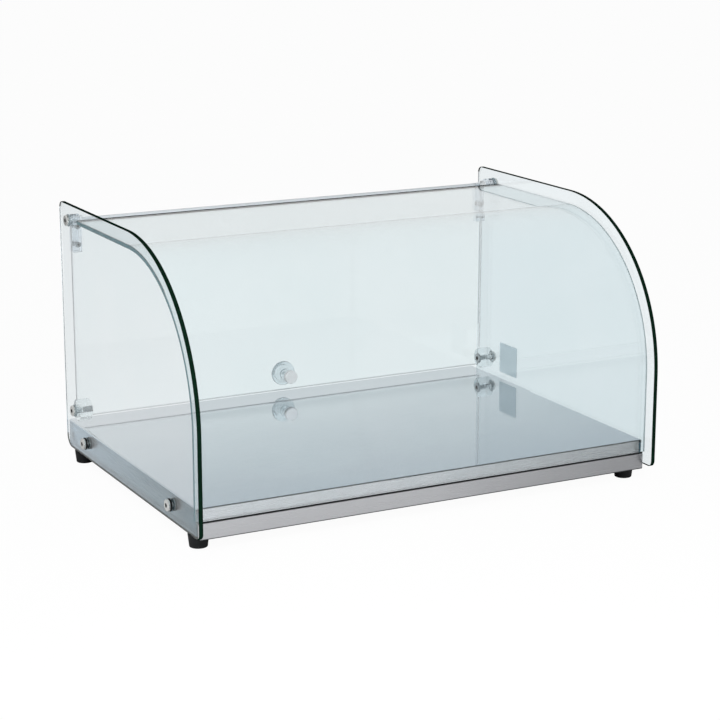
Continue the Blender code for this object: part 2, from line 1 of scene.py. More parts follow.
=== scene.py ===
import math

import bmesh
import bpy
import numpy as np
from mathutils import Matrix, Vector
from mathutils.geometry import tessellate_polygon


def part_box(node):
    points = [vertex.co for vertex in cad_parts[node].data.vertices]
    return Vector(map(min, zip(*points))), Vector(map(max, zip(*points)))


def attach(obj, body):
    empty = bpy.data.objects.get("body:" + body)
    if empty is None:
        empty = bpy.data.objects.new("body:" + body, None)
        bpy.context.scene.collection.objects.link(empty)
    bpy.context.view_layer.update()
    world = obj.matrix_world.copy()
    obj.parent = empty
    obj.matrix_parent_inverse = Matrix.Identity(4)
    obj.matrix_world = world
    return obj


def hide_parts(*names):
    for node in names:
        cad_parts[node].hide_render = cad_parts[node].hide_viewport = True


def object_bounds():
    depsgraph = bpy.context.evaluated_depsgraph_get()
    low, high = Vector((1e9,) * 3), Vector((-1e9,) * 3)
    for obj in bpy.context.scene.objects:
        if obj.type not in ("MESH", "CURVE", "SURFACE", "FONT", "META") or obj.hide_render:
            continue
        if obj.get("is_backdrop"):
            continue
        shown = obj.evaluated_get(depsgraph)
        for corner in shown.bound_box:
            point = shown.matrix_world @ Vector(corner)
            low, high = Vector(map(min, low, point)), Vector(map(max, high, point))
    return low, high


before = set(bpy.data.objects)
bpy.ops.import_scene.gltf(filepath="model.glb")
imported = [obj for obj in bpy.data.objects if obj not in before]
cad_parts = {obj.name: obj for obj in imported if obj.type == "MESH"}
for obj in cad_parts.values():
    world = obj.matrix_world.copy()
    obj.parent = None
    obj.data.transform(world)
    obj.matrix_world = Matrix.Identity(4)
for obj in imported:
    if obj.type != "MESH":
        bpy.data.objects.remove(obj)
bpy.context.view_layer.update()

# %% [markdown]
# # A glass counter-top display case
# The case is a low box of folded steel between two flat side glasses. A bent glass closes the
# front and the top, and a frameless glass flap hangs at the back on two clear plastic hinges.
# The solids are loaded above, in metres, at the place and size that the real case has. This
# lesson dresses them: it draws the glass, the sheet metal and the small parts finely enough for
# a close look, and gives each the finish of its real material.

MM = 0.001


# %% [markdown]
# ## Where the solids are
# Every new piece takes its place from the solid that it stands for, so that both always agree.
# A box tells the reach of a solid along each axis, and its middle tells where a bolt sits. The
# two sides of the case mirror each other, so a sign of -1 or 1 stands for left or right.

# %% Places of the solids
def reach(node):
    """Lowest and highest corner of a solid, as two arrays of three metres."""
    low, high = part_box(node)
    return np.array(low), np.array(high)


def middle(node):
    """Middle of a solid's box: half the sum of its two corners."""
    low, high = reach(node)
    return (low + high) / 2


def across(node):
    """How far a solid's two ends are from the case's middle plane, and where its axis lies."""
    low, high = reach(node)
    near, far = sorted((abs(low[0]), abs(high[0])))
    return near, far, np.array([0, *middle(node)[1:]])


SIDES = {"left": -1, "right": 1}
pane_low, pane_high = reach("side_glass_right")
print("right side glass from", pane_low.round(4), "to", pane_high.round(4))


# %% [markdown]
# ## From numbers to a mesh
# A mesh is a list of points and a list of faces. The points are worked out as whole arrays, and
# handed over in one go. Points that fall together are merged, which closes the poles of turned
# parts, and all faces are then turned outwards. Curved faces are shaded smooth, and an edge
# sharper than 30 degrees stays crisp.

# %% Mesh helper
MERGE, CRISP = 0.002 * MM, math.radians(30)


def make_piece(name, points, faces, looks, face_looks):
    """An object from an (n, 3) array of points, a list of faces and the finish of each."""
    mesh = bpy.data.meshes.new(name)
    mesh.from_pydata(points.tolist(), [], [tuple(face) for face in faces])
    for look in looks:
        mesh.materials.append(look)
    mesh.polygons.foreach_set("material_index", np.asarray(face_looks, np.int32))
    work = bmesh.new()
    work.from_mesh(mesh)
    bmesh.ops.remove_doubles(work, verts=work.verts, dist=MERGE)
    bmesh.ops.recalc_face_normals(work, faces=work.faces)
    work.to_mesh(mesh)
    work.free()
    mesh.shade_smooth()
    mesh.set_sharp_from_angle(angle=CRISP)
    piece = bpy.data.objects.new(name, mesh)
    bpy.context.scene.collection.objects.link(piece)
    return piece


print("points closer than", MERGE / MM, "mm are merged")


# %% [markdown]
# ## Taking a solid's place
# Each new piece replaces a solid and rides on the body that the solid belongs to, so that the
# flap can swing. The renderer looks for the lamp along straight shadow rays, and glass would
# stop them: the screws inside the clear plastics would stay black. Real clear glass shades
# hardly anything, so the clear pieces cast no shadow here.

# %% Stand-in helper
CLEAR_SLOTS = ("side_glass", "bent_glass", "door_glass", "clear_plastic")
print("slots without a shadow:", ", ".join(CLEAR_SLOTS))


def stand_in(piece, slot, *nodes, body="case"):
    """The piece takes the place of these solids and moves with their body; its slot tells only
    whether it casts a shadow.
    """
    piece.visible_shadow = slot not in CLEAR_SLOTS
    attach(piece, body)
    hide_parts(*nodes)
    print(f"{piece.name}: {len(piece.data.polygons)} faces for {len(nodes)} solid(s)")


# %% [markdown]
# ## Outlines with round corners
# Glass is cut along a template and sheet metal is folded round a tool, so most outlines here
# are straight runs joined by arcs. One function draws them all. Just before and after each arc
# it adds a point on the straight run, so that smooth shading doesn't bend a flat face. The
# middles of the runs tell later which run is a rear edge or an upper one.

# %% Outline helper
def rounded(corners, closed=True, step=3 * MM):
    """Points along straight runs joined by arcs, as an (n, 2) array.

    Each corner is (u, v, radius). With unit directions a and b from the corner to its two
    neighbours, an arc of radius r leaves each run at r / tan(half the angle between a and b),
    and its middle lies r / sin(half the angle) from the corner, along a + b. The points of the
    arc turn evenly from one run to the other.
    """
    spots = np.array([corner[:2] for corner in corners], float)
    parts = []
    for index, (_, _, radius) in enumerate(corners):
        here = spots[index]
        end = not closed and index in (0, len(corners) - 1)
        if radius == 0 or end:
            parts.append(here[None])
            continue
        a = spots[index - 1] - here
        b = spots[(index + 1) % len(corners)] - here
        a, b = a / np.linalg.norm(a), b / np.linalg.norm(b)
        half = math.acos(float(np.clip(a @ b, -1, 1))) / 2
        out = radius / math.tan(half)
        centre = here + (a + b) / np.linalg.norm(a + b) * radius / math.sin(half)
        first, last = here + a * out - centre, here + b * out - centre
        sweep = math.pi - 2 * half
        count = max(8, math.ceil(sweep * radius / step))
        share = np.linspace(0, 1, count + 1)[:, None]
        arc = np.sin((1 - share) * sweep) * first + np.sin(share * sweep) * last
        arc = arc / math.sin(sweep)
        lead = min(0.3 * MM, radius / 4)  # from the arc to the extra point on the run
        parts += [here[None] + a * (out + lead), centre + arc, here[None] + b * (out + lead)]
    return np.concatenate(parts)


def oblong(low_u, low_v, high_u, high_v, radius=0, step=3 * MM):
    """A rectangle between two corners, its own four rounded by one radius."""
    return rounded([(low_u, low_v, radius), (high_u, low_v, radius), (high_u, high_v, radius),
                    (low_u, high_v, radius)], step=step)


def ring(u, v, radius, count=40):
    """A circle about (u, v), clockwise, as holes are."""
    angle = -np.linspace(0, 2 * math.pi, count, endpoint=False)
    return np.stack([u + radius * np.cos(angle), v + radius * np.sin(angle)], 1)


def middles(outline):
    """Half-way point of each run of a closed outline: half the sum of its two ends."""
    return (outline + np.roll(outline, -1, 0)) / 2


def moved_in(outline, distance):
    """Each point of a closed outline moved to the left of its direction, square to both edges.

    With the unit normals m and n of the two edges at a point, the move is
    distance * (m + n) / (1 + m . n), which keeps both edges parallel to themselves.
    """
    ahead = np.roll(outline, -1, 0) - outline
    ahead /= np.linalg.norm(ahead, axis=1)[:, None]
    normal = np.stack([-ahead[:, 1], ahead[:, 0]], 1)
    before = np.roll(normal, 1, 0)
    return outline + distance * (normal + before) / (1 + (normal * before).sum(1))[:, None]


square = oblong(0, 0, 100 * MM, 100 * MM, 20 * MM)
print("a square of 100 mm with corners of 20 mm has", len(square), "points")


# %% [markdown]
# ## A slab: any flat or folded piece
# A pane, a folded channel and a strip are all one outline pushed along a straight line. The two
# flat ends of a slab get a narrow slanted edge, the arris that a grinder or a deburring tool
# leaves, because a perfectly sharp edge never catches the light as a real one does.

# %% Slab helper
AXES = {"X": (1, 2, 0), "Y": (0, 2, 1), "Z": (0, 1, 2)}


def slab(name, outline, along, start, end, looks, arris=0.2 * MM, holes=(), run=0, cap=0,
         wall=0):
    """An outline, with holes, pushed from start to end along an axis.

    Four copies of each ring are laid at start, start + arris, end - arris and end, the first
    and last moved in by the arris, and joined by four-sided faces; the ends are filled.
    run is the finish of the pushed faces, one number or one for each edge, and cap that of the
    two ends, one number or one for each. wall is that of the holes.
    """
    low, high = sorted((start, end))
    u, v, w = AXES[along]
    loops = [outline, *holes]
    points, faces, face_looks, shift = [], [], [], 0
    for number, loop in enumerate(loops):
        count = len(loop)
        narrow = moved_in(loop, arris)
        levels = [(narrow, low), (loop, low + arris), (loop, high - arris), (narrow, high)]
        for flat, level in levels:
            layer = np.empty((count, 3))
            layer[:, u], layer[:, v], layer[:, w] = flat[:, 0], flat[:, 1], level
            points.append(layer)
        here = shift + np.arange(count)
        following = shift + (np.arange(count) + 1) % count
        for k in range(3):
            quads = np.stack([here + k * count, following + k * count,
                              following + (k + 1) * count, here + (k + 1) * count], 1)
            faces += quads.tolist()
            face_looks.append(np.broadcast_to(run if number == 0 else wall, count))
        shift += 4 * count
    counts = [len(loop) for loop in loops]
    starts = np.cumsum([0] + [4 * count for count in counts])[:-1]
    end_rings = [moved_in(loop, arris) for loop in loops]
    triangles = np.array(tessellate_polygon(
        [[Vector((p[0], p[1], 0)) for p in loop] for loop in end_rings]))
    first = np.concatenate([s + np.arange(c) for s, c in zip(starts, counts)])
    last = np.concatenate([s + 3 * c + np.arange(c) for s, c in zip(starts, counts)])
    faces += first[triangles].tolist() + last[triangles].tolist()
    face_looks.append(np.repeat(np.broadcast_to(cap, 2), len(triangles)))
    return make_piece(name, np.concatenate(points), faces, looks, np.concatenate(face_looks))


# %% [markdown]
# ## A turned piece: bolts, feet, stops and the knob
# A lathe cuts a profile while the bar turns. Here the profile is a list of radius and distance,
# carried once round the axis. Where a row is marked as a hexagon, its radius follows the flats
# of a hexagon instead of a circle, which gives a socket for a key or the sides of a nut.

# %% Turned helper
def turned(name, profile, axis, centre, looks, side=1, count=60, tube=False, row_looks=None):
    """A profile of (radius, distance, hexagon share) rows carried round an axis.

    At an angle t the radius is r * ((1 - h) + h * cos(30) / cos((t mod 60) - 30)), in degrees,
    and the distance is laid off along the axis from the centre, times the side.
    """
    rows = np.array([tuple(row) + (0,) * (3 - len(row)) for row in profile], float)
    radius, along, share = rows.T
    angle = np.linspace(0, 2 * math.pi, count, endpoint=False)
    sixth = math.pi / 3
    hexagon = math.cos(sixth / 2) / np.cos(angle % sixth - sixth / 2)
    spread = radius[:, None] * (1 + share[:, None] * (hexagon[None] - 1))
    u, v, w = AXES[axis]
    points = np.empty((len(rows), count, 3))
    points[..., u] = centre[u] + spread * np.cos(angle)
    points[..., v] = centre[v] + spread * np.sin(angle)
    points[..., w] = (centre[w] + side * along)[:, None]
    grid = np.arange(len(rows) * count).reshape(len(rows), count)
    after = np.roll(grid, -1, 1)
    above, above_after = np.roll(grid, -1, 0), np.roll(after, -1, 0)
    quads = np.stack([grid, after, above_after, above], -1)
    if not tube:
        quads = quads[:-1]
    shown = np.repeat(np.zeros(len(quads), int) if row_looks is None else row_looks, count)
    return make_piece(name, points.reshape(-1, 3), quads.reshape(-1, 4).tolist(), looks, shown)


def eased(corners, closed=False, step=0.4 * MM):
    """A profile for turned, from (distance, radius, rounding) corners."""
    return [(r, t) for t, r in rounded(corners, closed, step)]


print("the flats of a hexagon lie at", round(math.cos(math.pi / 6), 3), "of its corners' radius")


# %% [markdown]
# ## A softened solid
# Hinges, nuts and the folded sheets have the right shape in the solids, but razor-sharp edges.
# They could be drawn anew, but a moulded hinge has many faces, and a Bevel modifier on a copy
# gives the same small rounding. The copy is merged and its flat faces are joined first, because
# the mesh of a solid is all triangles.

# %% Softened helper
def softened(name, node, width, look):
    """A merged copy of a solid's mesh with its edges rounded by a width."""
    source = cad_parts[node].data
    work = bmesh.new()
    work.from_mesh(source)
    bmesh.ops.remove_doubles(work, verts=work.verts, dist=MERGE)
    bmesh.ops.dissolve_limit(work, angle_limit=math.radians(2), verts=work.verts,
                             edges=work.edges)
    mesh = bpy.data.meshes.new(name)
    work.to_mesh(mesh)
    work.free()
    mesh.materials.clear()
    mesh.materials.append(look)
    mesh.polygons.foreach_set("material_index", np.zeros(len(mesh.polygons), np.int32))
    mesh.shade_smooth()
    mesh.set_sharp_from_angle(angle=CRISP)
    piece = bpy.data.objects.new(name, mesh)
    bpy.context.scene.collection.objects.link(piece)
    bevel = piece.modifiers.new("rounded edges", "BEVEL")
    bevel.width, bevel.segments = width, 3
    bevel.limit_method, bevel.angle_limit = "ANGLE", math.radians(40)
    bevel.use_clamp_overlap = True
    bevel.harden_normals = True
    return piece


# %% [markdown]
# ## Colours and nodes
# Colours are written as they look on a screen, in hexadecimal sRGB, and one function turns them
# into the linear light that the renderer counts with. A second function adds a node with its
# settings and its links, so a material reads as a short list of what it is made of.

# %% Colour and node helpers
def linear(code):
    """An sRGB hex code as linear red, green, blue and 1: below 0.04045 a straight line of
    slope 1 / 12.92, and above it ((c + 0.055) / 1.055) to the power 2.4."""
    c = np.array([int(code[k:k + 2], 16) for k in (1, 3, 5)]) / 255
    light = np.where(c <= 0.04045, c / 12.92, ((c + 0.055) / 1.055) ** 2.4)
    return (*light.tolist(), 1.0)


print("half grey on a screen is", round(linear("#808080")[0], 3), "in linear light")


def add_node(tree, kind, inputs=None, **settings):
    """One node in a tree, with its settings, and its inputs set to a value or a socket."""
    made = tree.nodes.new(kind)
    for key, value in settings.items():
        setattr(made, key, value)
    for key, value in (inputs or {}).items():
        if isinstance(value, bpy.types.NodeSocket):
            tree.links.new(value, made.inputs[key])
        else:
            made.inputs[key].default_value = value
    return made


def new_finish(name):
    """An empty material with its output and a Principled shader."""
    look = bpy.data.materials.new(name)
    look.use_nodes = True
    look.node_tree.nodes.clear()
    shader = add_node(look.node_tree, "ShaderNodeBsdfPrincipled")
    add_node(look.node_tree, "ShaderNodeOutputMaterial", {"Surface": shader.outputs[0]})
    return look, look.node_tree, shader


NOISE_LOW, NOISE_HIGH = 0.3, 0.7  # nearly all the noise lies between these two


def grain(tree, size, detail=2.0, roughness=0.5):
    """Noise whose blotches are about size long on each axis, in metres."""
    place = add_node(tree, "ShaderNodeTexCoord")
    scaled = add_node(tree, "ShaderNodeMapping",
                      {"Vector": place.outputs["Object"],
                       "Scale": tuple(1 / length for length in size)})
    return add_node(tree, "ShaderNodeTexNoise",
                    {"Vector": scaled.outputs[0], "Scale": 1.0, "Detail": detail,
                     "Roughness": roughness}).outputs["Fac"]


def between(tree, share, low, high):
    """A number from low to high as the share goes over the reach of the noise."""
    return add_node(tree, "ShaderNodeMapRange",
                    {"Value": share, "From Min": NOISE_LOW, "From Max": NOISE_HIGH,
                     "To Min": low, "To Max": high}).outputs[0]


def blend_colours(tree, share, first, second):
    """A colour from the first to the second as the share goes over the reach of the noise."""
    ramp = add_node(tree, "ShaderNodeValToRGB", {"Fac": share})
    start, end = ramp.color_ramp.elements
    start.position, end.position = NOISE_LOW, NOISE_HIGH
    start.color, end.color = linear(first), linear(second)
    return ramp.outputs[0]


def combined(tree, operation, *numbers):
    """What a Math node makes of up to three numbers or sockets."""
    return add_node(tree, "ShaderNodeMath", dict(enumerate(numbers)),
                    operation=operation).outputs[0]


def relief(tree, height, depth):
    """A bump of a depth in metres."""
    return add_node(tree, "ShaderNodeBump",
                    {"Height": height, "Distance": depth, "Strength": 1.0}).outputs[0]


# %% [markdown]
# ## Float glass
# Float glass is cast on molten tin, so its faces are optically flat. Iron in the sand makes it
# green: hardly to be seen through 5 mm, and very dark along a cut edge, where the eye looks
# through a hand's breadth of it. A volume that swallows red light could show both, but slowly
# and with noise, so the faces get a pale tint, and the edges a finish of their own. The tint
# drifts a little over 90 mm, as in a real melt. Real glass has an index of 1.5; the side glasses
# get 1.42, because the photograph shows only faint mirror images in them. Along the upper edge
# of the flap runs a narrow strip of ground, grey glass.

# %% Side glass, bent glass and door glass
MELT, STRIP, STRIP_START = 90 * MM, 3.5 * MM, 0.3 * MM


def float_glass(name, pale, deep, index=1.5, strip=None):
    """Clear float glass: fully transmitting, smooth, tinted between two close colours.

    Where strip gives a height, the glass is ground matt above it: over the first 0.3 mm the
    clear share goes from 1 to 0, and the tint to a plain grey.
    """
    look, tree, shader = new_finish(name)
    drift = grain(tree, (MELT, MELT, MELT))
    tint = blend_colours(tree, drift, pale, deep)
    shader.inputs["Roughness"].default_value = 0.0
    shader.inputs["IOR"].default_value = index
    shader.inputs["Transmission Weight"].default_value = 1.0
    if strip:
        place = add_node(tree, "ShaderNodeTexCoord").outputs["Object"]
        rise = add_node(tree, "ShaderNodeSeparateXYZ", {0: place}).outputs["Z"]
        matt = add_node(tree, "ShaderNodeMapRange",
                        {"Value": rise, "From Min": strip,
                         "From Max": strip + STRIP_START}).outputs[0]
        tree.links.new(combined(tree, "SUBTRACT", 1.0, matt),
                       shader.inputs["Transmission Weight"])
        tint = add_node(tree, "ShaderNodeMix", {0: matt, 6: tint, 7: linear("#CFD6DA")},
                        data_type="RGBA").outputs[2]
    tree.links.new(tint, shader.inputs["Base Color"])
    return look


side_glass = float_glass("float glass, cut flat", "#F1F6F8", "#EFF5F7", index=1.42)
bent_glass = float_glass("float glass, bent hot", "#EAF2F4", "#E8F1F3")
door_glass = float_glass("float glass, flap", "#FCFEFE", "#FAFDFD",
                         strip=reach("rear_door_glass")[1][2] - STRIP)
print("glass:", side_glass.name, "/", bent_glass.name, "/", door_glass.name)


# %% [markdown]
# ## Edges of the glass
# A sawn edge is ground, and then polished or left as it is. The polished edges of the side
# glasses look bottle green, nearly black. The ends of the bent glass are only seamed with a
# belt: the near one shows a blue-green band. The far one has the light behind it, and its pale
# band is painted light, a lit copy of the seamed finish. The rear edge of the bent glass is
# dark.
# The edges of the flap are ground matt: milky, and grey above.

# %% Glass edges
BLOTCH = 4 * MM


def glass_edge(name, dark, light, roughness, gloss):
    """A ground edge that drifts between two close tones, and a little in its roughness."""
    look, tree, shader = new_finish(name)
    scratches = grain(tree, (BLOTCH, BLOTCH, BLOTCH), 3.0)
    tree.links.new(blend_colours(tree, scratches, dark, light), shader.inputs["Base Color"])
    tree.links.new(between(tree, scratches, roughness * 0.8, roughness * 1.2),
                   shader.inputs["Roughness"])
    shader.inputs["IOR"].default_value = 1.5
    shader.inputs["Specular IOR Level"].default_value = gloss
    return look


side_edge = glass_edge("float glass, polished edge", "#07180F", "#0C2218", 0.3, 0.0)
bent_end = glass_edge("float glass, seamed end", "#0A6570", "#12717C", 0.4, 0.0)
# Painted light: the far end is the seamed finish made pale, as it has the light behind it.
bent_end_painted_light = glass_edge("float glass, seamed far end, painted light", "#A9B9BC", "#B2C1C4", 0.4, 0.1)
bent_edge = glass_edge("float glass, seamed rear edge", "#0F191B", "#152022", 0.4, 0.0)
matt_edge = glass_edge("float glass, frosted edge", "#F0F4F7", "#F6F8FA", 0.5, 0.3)
matt_edge.node_tree.nodes["Principled BSDF"].inputs["Transmission Weight"].default_value = 0.9
flap_top_edge = glass_edge("float glass, ground upper edge", "#C9D0D4", "#D0D6DA", 0.5, 0.2)
print("edges:", side_edge.name, "/", bent_end.name, "/", matt_edge.name, "and three more")


# %% [markdown]
# ## Polished and brushed steel
# The deck is stainless sheet with a mirror finish: bright, with a trace of the rolling along its
# length. The rail, the fascia and the sides are brushed: fine straight scratches along the
# sheet. Real scratches are 0.1 mm apart; they are drawn about ten times as coarse, because
# finer ones would melt into one grey in the picture. The tone of each sheet carries painted
# shade: the rail and the fascia get darker to the right, and the deck and the sides to the
# front. The fascia is painted brighter than the rail. A dark band along a folded lower edge is
# painted shade, for the dark gap under the case that the bent edge mirrors.

# %% Steel sheet
LINE, CLOUD, FAINT = 80 * MM, 70 * MM, 0.12


def steel_sheet(name, first, second, roughness, along, scratch, depth, turn=None, painted_fold_shade=None):
    """Stainless sheet with scratches along an axis: 80 mm long and one scratch size apart.

    The tone goes from the first colour to the second with the mean of clouds and scratches.
    Where turn gives an axis and two places on it, the tone goes from the one place to the
    other instead, a painted shade, and clouds and scratches only add a faint 12 percent of
    theirs. Below the first height of fold it is dark, a painted shade, and from the second one
    up it is as it was.
    """
    look, tree, shader = new_finish(name)
    place = add_node(tree, "ShaderNodeTexCoord").outputs["Object"]
    places = add_node(tree, "ShaderNodeSeparateXYZ", {0: place})
    size = [scratch] * 3
    size["XYZ".index(along)] = LINE
    lines = grain(tree, size, 3.0, 0.6)
    clouds = grain(tree, (CLOUD, CLOUD, CLOUD))
    share = combined(tree, "ADD", lines, clouds)
    # Painted shade: the tone goes from the first colour at the start to the second at the end.
    if turn:
        axis, start, end = turn
        slope = add_node(tree, "ShaderNodeMapRange",
                         {"Value": places.outputs[axis], "From Min": start, "From Max": end,
                          "To Min": NOISE_LOW, "To Max": NOISE_HIGH}).outputs[0]
        faint = combined(tree, "MULTIPLY_ADD", share, FAINT, -FAINT)
        share = combined(tree, "ADD", slope, faint)
    else:
        share = combined(tree, "MULTIPLY", share, 0.5)
    tone = blend_colours(tree, share, first, second)
    # Painted shade: under the bend of a lower edge the tone goes dark, for the shaded gap under
    # the case.
    if painted_fold_shade:
        rise = add_node(tree, "ShaderNodeMapRange",
                        {"Value": places.outputs["Z"], "From Min": painted_fold_shade[0],
                         "From Max": painted_fold_shade[1]}).outputs[0]
        tone = add_node(tree, "ShaderNodeMix", {0: rise, 6: linear("#1B2023"), 7: tone},
                        data_type="RGBA").outputs[2]
    tree.links.new(tone, shader.inputs["Base Color"])
    tree.links.new(between(tree, lines, roughness * 0.85, roughness * 1.15),
                   shader.inputs["Roughness"])
    tree.links.new(relief(tree, lines, depth), shader.inputs["Normal"])
    shader.inputs["Metallic"].default_value = 1.0
    return look


# Painted shade in the tones: the deck and the sides get darker to the front, the rail and the
# fascia to the right.
deck_steel = steel_sheet("stainless steel, mirror rolled", "#C5CCD5", "#E9EDF1", 0.06, "X",
                         1.2 * MM, 0.0006 * MM, turn=("Y", -0.19, 0.1))
rail_steel = steel_sheet("stainless steel, brushed rail", "#C0C1C4", "#A3A4A7", 0.3,
                         "X", 0.9 * MM, 0.004 * MM, turn=("X", 0.0, 0.27),
                         painted_fold_shade=(15.3 * MM, 16.1 * MM))
# Painted light: the fascia is the same brushed steel as the rail, given brighter and warmer
# tones.
fascia_steel = steel_sheet("stainless steel, brushed fascia, painted light", "#F4EBEC", "#CBC5C6", 0.25,
                           "X", 0.9 * MM, 0.004 * MM, turn=("X", 0.0, 0.27))
panel_steel = steel_sheet("stainless steel, brushed along the side", "#456673", "#B8C7D4", 0.3,
                          "Y", 0.9 * MM, 0.004 * MM, turn=("Y", -0.15, 0.19),
                          painted_fold_shade=(17.5 * MM, 18.5 * MM))
cut_steel = steel_sheet("stainless steel, sheared edge", "#6E7274", "#7C8082", 0.45, "X",
                        0.6 * MM, 0.004 * MM)
print("steel:", deck_steel.name, "/", rail_steel.name, "/", panel_steel.name)


# %% [markdown]
# ## Plated bolts, rubber, plastics and film
# Heads of bolts are nickel plated: bright, a little warm, with soft wear. Shanks and nuts,
# which nobody polishes, are satin, and the small screws dull zinc. The feet and the washers
# under the heads of the base bolts are black rubber, moulded matt, and the others grey. Hinges,
# stops and the knob are clear acrylic, and the button inside the door is the same plastic
# blasted white. Acrylic has an index of 1.49, as the knob here; hinges and stops get less,
# because the screws are seen through them hardly bent. The film is pale blue polyester with a
# fine mottled surface.

# %% Small finishes
def plain_finish(name, first, second, size, roughness, depth=0.0, **sockets):
    """A finish that drifts between two colours and two roughnesses, with a fine relief."""
    look, tree, shader = new_finish(name)
    drift = grain(tree, (size, size, size), 3.0)
    tree.links.new(blend_colours(tree, drift, first, second), shader.inputs["Base Color"])
    tree.links.new(between(tree, drift, roughness[0], roughness[1]), shader.inputs["Roughness"])
    if depth:
        tree.links.new(relief(tree, drift, depth), shader.inputs["Normal"])
    for key, value in sockets.items():
        shader.inputs[key.replace("_", " ")].default_value = value
    return look


plated = plain_finish("steel, nickel plated", "#D2D4D3", "#DEDFDC", 3 * MM, (0.12, 0.22),
                      Metallic=1.0)
dull_plated = plain_finish("steel, zinc plated dull", "#A9AEB1", "#B7BBBD", 2 * MM, (0.3, 0.4),
                           Metallic=1.0)
pale_plated = plain_finish("steel, satin plated pale", "#D8DDE0", "#E0E4E6", 2 * MM,
                           (0.45, 0.55), Metallic=0.2)
# Painted shade: the inside of a socket is dark, as a recess is in shade.
socket_painted_shade = plain_finish("steel, socket with painted shade", "#17191A", "#232627", 1 * MM,
                            (0.45, 0.6))
rubber = plain_finish("rubber, moulded matt", "#0B0C0D", "#16181A", 0.8 * MM, (0.55, 0.7),
                      0.03 * MM, Specular_IOR_Level=0.25)
washer_pale = plain_finish("rubber, pale grey", "#8C989D", "#98A4A9", 1 * MM, (0.4, 0.55),
                           0.01 * MM, Specular_IOR_Level=0.3)
washer_grey = plain_finish("rubber, grey", "#3C4A4F", "#46555A", 1 * MM, (0.4, 0.55),
                           0.01 * MM, Specular_IOR_Level=0.3)
clear = plain_finish("acrylic, clear turned", "#EEF2F3", "#F3F6F7", 6 * MM, (0.03, 0.07),
                     Transmission_Weight=1.0, IOR=1.08)
hinge_clear = plain_finish("acrylic, clear moulded", "#EBEFF3", "#F0F3F6", 6 * MM, (0.03, 0.06),
                           Transmission_Weight=1.0, IOR=1.15)
knob_clear = plain_finish("acrylic, clear turned knob", "#E1E8EC", "#E7EDF0", 4 * MM,
                          (0.02, 0.04), Transmission_Weight=1.0, IOR=1.49)
frosted = plain_finish("acrylic, blasted", "#E6E2E2", "#EEEAEA", 1.5 * MM, (0.3, 0.4),
                       0.02 * MM, IOR=1.49)
film = plain_finish("polyester film, matt", "#DFEBF0", "#E4EEF3", 2 * MM, (0.3, 0.4),
                    0.005 * MM, Transmission_Weight=1.0, IOR=1.3)
print("small finishes:", plated.name, "/", rubber.name, "/", clear.name, "/", film.name)


# %% [markdown]
# ## The side glasses
# Two flat panes, 4.8 mm thick, carry everything: the base hangs between them on four bolts, the
# flap on two more. Each is a rectangle with one corner cut to a radius of 181.5 mm, drilled
# before it is polished. It is drawn as a slab whose pushed faces have the edge finish, except
# the upright rear edge: the eye looks out through it into the white room, and it stays clear.

# %% Side glasses
FRONT, SMALL, REAR = 181.5 * MM, 7 * MM, 14 * MM  # radii of the corners
HOLE, ARRIS = 3.3 * MM, 0.5 * MM  # radius of a hole and width of the ground edge
NEAR = 0.01 * MM  # closer than this counts as the same place
BOLTS = ("base_bolt_front_", "base_bolt_rear_", "pivot_bolt_", "stop_bolt_")
side_outline = rounded([(pane_low[1], pane_low[2], SMALL), (pane_high[1], pane_low[2], REAR),
                        (pane_high[1], pane_high[2], SMALL), (pane_low[1], pane_high[2], FRONT)])
rear_run = middles(side_outline)[:, 0] > pane_high[1] - NEAR
print("edge runs:", len(side_outline), "of which clear at the rear:", int(rear_run.sum()))
for word in SIDES:
    low, high = reach("side_glass_" + word)
    holes = [ring(*middle(bolt + word)[1:], HOLE) for bolt in BOLTS]
    pane = slab("pane_side_" + word, side_outline, "X", low[0], high[0],
                [side_glass, side_edge], arris=ARRIS, holes=holes,
                run=np.where(rear_run, 0, 1))
    stand_in(pane, "side_glass", "side_glass_" + word)


# %% [markdown]
# ## The bent front glass
# One pane makes the front and the top. It is heated until it sags over a mould, so both faces
# are arcs about one centre, with straight runs before and after. Its outline is drawn from the
# side and pushed across the case. At a shallow angle the last millimetres of the top look onto
# the dark rear edge. That view is painted: a run of 4 mm above and 9 mm below that edge gets the
# dark edge finish, which shows it more steadily than bent rays would.

# %% Bent glass
low, high = reach("front_glass")
thick, outer_radius = 5 * MM, 167.5 * MM
dark_above, dark_below = 4 * MM, 9 * MM
bent_outline = rounded([
    (low[1], low[2], 0), (low[1] + thick, low[2], 0),
    (low[1] + thick, high[2] - thick, outer_radius - thick),
    (high[1] - dark_below, high[2] - thick, 0), (high[1], high[2] - thick, 0),
    (high[1], high[2], 0), (high[1] - dark_above, high[2], 0), (low[1], high[2], outer_radius)])
y, z = middles(bent_outline).T
# Painted view: these runs of the faces get the dark edge finish, for the rear edge seen through
# the glass.
painted_edge_view = y > high[1] - np.where(z < high[2] - NEAR, dark_below, dark_above)
print("runs of the bent glass:", len(painted_edge_view), "of which dark at the rear:", int(painted_edge_view.sum()))
bent = slab("pane_bent_front", bent_outline, "X", low[0], high[0],
            [bent_glass, bent_end, bent_edge, bent_end_painted_light], arris=ARRIS,
            run=np.where(painted_edge_view, 2, 0), cap=(1, 3))
stand_in(bent, "bent_glass", "front_glass")


# %% [markdown]
# ## The base
# The deck is one sheet with a lip folded down along each side, where its mirror finish ends. In
# front of it stands the fascia, and before the foot of the bent glass the rail, a folded
# channel with a thin rubber strip on top that the glass stands on. Each is its cross-section,
# pushed along the case.

